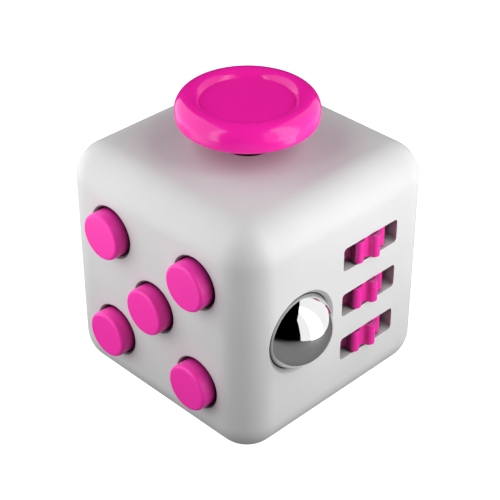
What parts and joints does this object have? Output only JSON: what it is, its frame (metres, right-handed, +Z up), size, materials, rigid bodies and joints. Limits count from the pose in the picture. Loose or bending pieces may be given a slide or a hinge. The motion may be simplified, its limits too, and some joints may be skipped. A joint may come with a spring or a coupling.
{
  "type": "fidget cube",
  "caption": "Rounded hand-held cube with a joystick, push buttons, rolling ball, toothed wheels, spinning dial, rocker switch and thumb rest on its faces.",
  "frame": {"origin": "centre of the square bottom face, on its plane", "axes": "+Z up through the joystick, -Y out of the button face, +X out of the face with the ball and the toothed wheels, -X out of the dial face, +Y out of the rocker face"},
  "size_m": [0.0383, 0.0367, 0.0397],
  "materials": {
    "shell_plastic": "satin",
    "cap_gloss": "gloss",
    "button_plastic": "satin",
    "gear_plastic": "gloss",
    "inner_plastic": "matte",
    "polished_steel": "polished",
    "plain_steel": "satin",
    "silicone": "matte"
  },
  "bodies": {
    "cube": {"front_shell": "shell_plastic", "rear_shell": "shell_plastic", "joystick_housing": "inner_plastic", "joystick_spring": "plain_steel", "joystick_screws": "plain_steel", "click_dome_upper_left": "plain_steel", "click_dome_middle": "plain_steel", "click_dome_lower_right": "plain_steel", "silent_pad_upper_right": "silicone", "silent_pad_lower_left": "silicone", "button_plate": "inner_plastic", "button_plate_screws": "plain_steel", "ball_click_dome": "plain_steel", "ball_housing": "inner_plastic", "ball_housing_screws": "plain_steel", "gear_pin": "plain_steel", "gear_bracket": "inner_plastic", "gear_bracket_screws": "plain_steel", "rocker_pin": "plain_steel", "rocker_leaf_spring": "plain_steel", "rocker_leaf_screws": "plain_steel"},
    "joystick_ring": {"joystick_gimbal_ring": "plain_steel", "joystick_cross_pin": "plain_steel"},
    "joystick": {"joystick_cap": "cap_gloss", "joystick_stick": "inner_plastic"},
    "button_upper_left": {"button_upper_left": "button_plastic"},
    "button_upper_right": {"button_upper_right": "button_plastic"},
    "button_middle": {"button_middle": "button_plastic"},
    "button_lower_left": {"button_lower_left": "button_plastic"},
    "button_lower_right": {"button_lower_right": "button_plastic"},
    "ball_cup": {"ball_carrier": "inner_plastic"},
    "ball": {"ball": "polished_steel"},
    "gear_upper": {"gear_upper": "gear_plastic"},
    "gear_middle": {"gear_middle": "gear_plastic"},
    "gear_lower": {"gear_lower": "gear_plastic"},
    "dial": {"dial": "button_plastic", "dial_washer": "plain_steel", "dial_screw": "plain_steel"},
    "rocker": {"rocker": "button_plastic"}
  },
  "joints": [
    {"name": "joystick_tilt_y", "type": "hinge", "parent": "cube", "child": "joystick_ring", "pos_m": [0, 0, 0.0287], "axis": [1, 0, 0], "range_deg": [-11, 11], "stiffness_Nm_per_rad": 0.02, "deforming": ["joystick_spring"]},
    {"name": "joystick_tilt_x", "type": "hinge", "parent": "joystick_ring", "child": "joystick", "pos_m": [0, 0, 0.0287], "axis": [0, 1, 0], "range_deg": [-11, 11], "stiffness_Nm_per_rad": 0.02, "deforming": ["joystick_spring"]},
    {"name": "button_upper_left_press", "type": "slide", "parent": "cube", "child": "button_upper_left", "axis": [0, 1, 0], "range_m": [0, 0.0005], "stiffness_N_per_m": 400, "deforming": ["click_dome_upper_left"]},
    {"name": "button_middle_press", "type": "slide", "parent": "cube", "child": "button_middle", "axis": [0, 1, 0], "range_m": [0, 0.0005], "stiffness_N_per_m": 400, "deforming": ["click_dome_middle"]},
    {"name": "button_lower_right_press", "type": "slide", "parent": "cube", "child": "button_lower_right", "axis": [0, 1, 0], "range_m": [0, 0.0005], "stiffness_N_per_m": 400, "deforming": ["click_dome_lower_right"]},
    {"name": "button_upper_right_press", "type": "slide", "parent": "cube", "child": "button_upper_right", "axis": [0, 1, 0], "range_m": [0, 0.0009], "stiffness_N_per_m": 250, "deforming": ["silent_pad_upper_right"]},
    {"name": "button_lower_left_press", "type": "slide", "parent": "cube", "child": "button_lower_left", "axis": [0, 1, 0], "range_m": [0, 0.0009], "stiffness_N_per_m": 250, "deforming": ["silent_pad_lower_left"]},
    {"name": "ball_press", "type": "slide", "parent": "cube", "child": "ball_cup", "axis": [-1, 0, 0], "range_m": [0, 0.0007], "stiffness_N_per_m": 500, "deforming": ["ball_click_dome"]},
    {"name": "ball_roll", "type": "hinge", "parent": "ball_cup", "child": "ball", "pos_m": [0.0146, -0.0072, 0.0165], "axis": [0, 0, 1], "continuous": true},
    {"name": "gear_upper_spin", "type": "hinge", "parent": "cube", "child": "gear_upper", "pos_m": [0.01299, 0.00483, 0.0233], "axis": [0, 0, 1], "continuous": true},
    {"name": "gear_middle_spin", "type": "hinge", "parent": "cube", "child": "gear_middle", "pos_m": [0.01299, 0.00483, 0.0165], "axis": [0, 0, 1], "continuous": true},
    {"name": "gear_lower_spin", "type": "hinge", "parent": "cube", "child": "gear_lower", "pos_m": [0.01299, 0.00483, 0.0097], "axis": [0, 0, 1], "continuous": true},
    {"name": "dial_spin", "type": "hinge", "parent": "cube", "child": "dial", "pos_m": [-0.0165, 0, 0.0165], "axis": [-1, 0, 0], "continuous": true},
    {"name": "rocker_flip", "type": "hinge", "parent": "cube", "child": "rocker", "pos_m": [0, 0.0135, 0.0165], "axis": [0, 0, 1], "range_deg": [0, 20]}
  ]
}
